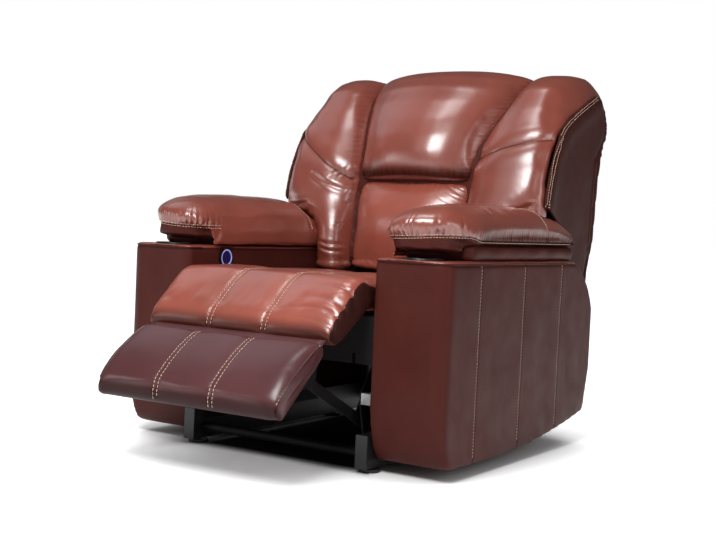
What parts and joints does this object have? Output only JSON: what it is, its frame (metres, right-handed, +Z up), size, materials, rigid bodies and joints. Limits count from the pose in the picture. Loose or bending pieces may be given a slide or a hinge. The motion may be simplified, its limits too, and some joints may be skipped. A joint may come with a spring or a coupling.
{
  "type": "power recliner seat",
  "caption": "Leather power recliner armchair with padded arms, cup wells, winged back with head pillow, and a swing-out footrest on side linkages.",
  "frame": {"origin": "middle of the footprint at floor level, with the footrest partly open as in the picture", "axes": "+X to the seat's side away from the power switch, +Y from the footrest to the back, +Z up"},
  "size_m": [1, 1.4116, 1.0904],
  "materials": {
    "leather": "glossy top-grain leather",
    "bright_leather": "glossy top-grain leather",
    "dark_leather": "semi-gloss split leather",
    "black_steel": "black powder coat",
    "zinc": "zinc plated",
    "board": "raw plywood",
    "webbing": "woven webbing",
    "black_plastic": "satin moulded plastic",
    "lit_ring": "backlit light guide"
  },
  "bodies": {
    "base": {"arm_body_r": "dark_leather", "arm_body_l": "dark_leather", "cup_holder_r": "black_plastic", "cup_holder_l": "black_plastic", "arm_band_r": "dark_leather", "arm_band_l": "dark_leather", "arm_pad_r": "leather", "arm_pad_l": "leather", "switch_bezel": "black_plastic", "switch_ring": "lit_ring", "seat_cushion": "bright_leather", "recline_pin_r": "zinc", "recline_pin_l": "zinc", "base_rail_r": "black_plastic", "base_rail_l": "black_plastic", "front_tube": "black_steel", "front_glide_r": "black_plastic", "front_glide_l": "black_plastic", "rear_glide_r": "black_plastic", "rear_glide_l": "black_plastic", "side_plate_r": "black_steel", "side_plate_l": "black_steel", "arm_bracket_r": "zinc", "arm_bracket_l": "zinc", "seat_side_rail_r": "board", "seat_side_rail_l": "board", "seat_front_rail": "dark_leather", "seat_deck": "webbing", "rear_apron": "dark_leather", "actuator": "black_plastic", "motor_tube": "black_steel", "power_inlet": "black_plastic"},
    "chaise": {"chaise_pad": "bright_leather"},
    "footrest": {"footrest_pad": "dark_leather", "footrest_board": "board", "footrest_bracket_r": "black_steel", "footrest_bracket_l": "black_steel"},
    "lift_links": {"lift_link_r": "black_steel", "lift_link_l": "black_steel", "torque_tube": "black_steel"},
    "reach_links": {"reach_link_r": "black_steel", "reach_link_l": "black_steel"},
    "guide_links": {"guide_link_r": "black_steel", "guide_link_l": "black_steel"},
    "drive": {"drive_rod": "zinc"},
    "back": {"back_wing_r": "leather", "back_wing_l": "leather", "head_pillow": "leather", "lumbar_pad": "leather", "outside_back": "dark_leather", "back_side_r": "dark_leather", "back_side_l": "dark_leather", "back_deck": "board", "back_post_r": "board", "back_post_l": "board", "back_top_rail": "board", "hinge_bracket_r": "black_steel", "hinge_bracket_l": "black_steel"},
    "open_button": {"button_open": "black_plastic"},
    "close_button": {"button_close": "black_plastic"}
  },
  "joints": [
    {"name": "footrest_open", "type": "hinge", "parent": "base", "child": "chaise", "pos_m": [0, -0.37045, 0.44], "axis": [-1, 0, 0], "range_deg": [-37, 30]},
    {"name": "footrest_swing", "type": "hinge", "parent": "chaise", "child": "footrest", "pos_m": [0, -0.51545, 0.338], "axis": [-1, 0, 0], "range_deg": [-11.2, 9.1]},
    {"name": "lift_turn", "type": "hinge", "parent": "base", "child": "lift_links", "pos_m": [0, -0.14645, 0.315], "axis": [-1, 0, 0], "range_deg": [-43.5, 35.3]},
    {"name": "reach_turn", "type": "hinge", "parent": "lift_links", "child": "reach_links", "pos_m": [0, -0.26545, 0.1065], "axis": [-1, 0, 0], "range_deg": [-33, 40.5]},
    {"name": "guide_turn", "type": "hinge", "parent": "base", "child": "guide_links", "pos_m": [0, -0.18445, 0.328], "axis": [-1, 0, 0], "range_deg": [-44, 35.8]},
    {"name": "drive_slide", "type": "slide", "parent": "base", "child": "drive", "axis": [0, -1, 0], "range_m": [-0.0535, 0.0435]},
    {"name": "recline", "type": "hinge", "parent": "base", "child": "back", "pos_m": [0, 0.32955, 0.3], "axis": [-1, 0, 0], "range_deg": [0, 35]},
    {"name": "press_open", "type": "slide", "parent": "base", "child": "open_button", "axis": [-1, 0, 0], "range_m": [0, 0.0015], "stiffness_N_per_m": 600},
    {"name": "press_close", "type": "slide", "parent": "base", "child": "close_button", "axis": [-1, 0, 0], "range_m": [0, 0.0015], "stiffness_N_per_m": 600}
  ],
  "couplings": [
    {"joint": "footrest_swing", "follows": "footrest_open", "ratio": 0.3},
    {"joint": "lift_turn", "follows": "footrest_open", "ratio": 1.171},
    {"joint": "reach_turn", "follows": "footrest_open", "ratio": -1.091},
    {"joint": "guide_turn", "follows": "footrest_open", "ratio": 1.188},
    {"joint": "drive_slide", "follows": "footrest_open", "m_per_rad": 0.082}
  ]
}
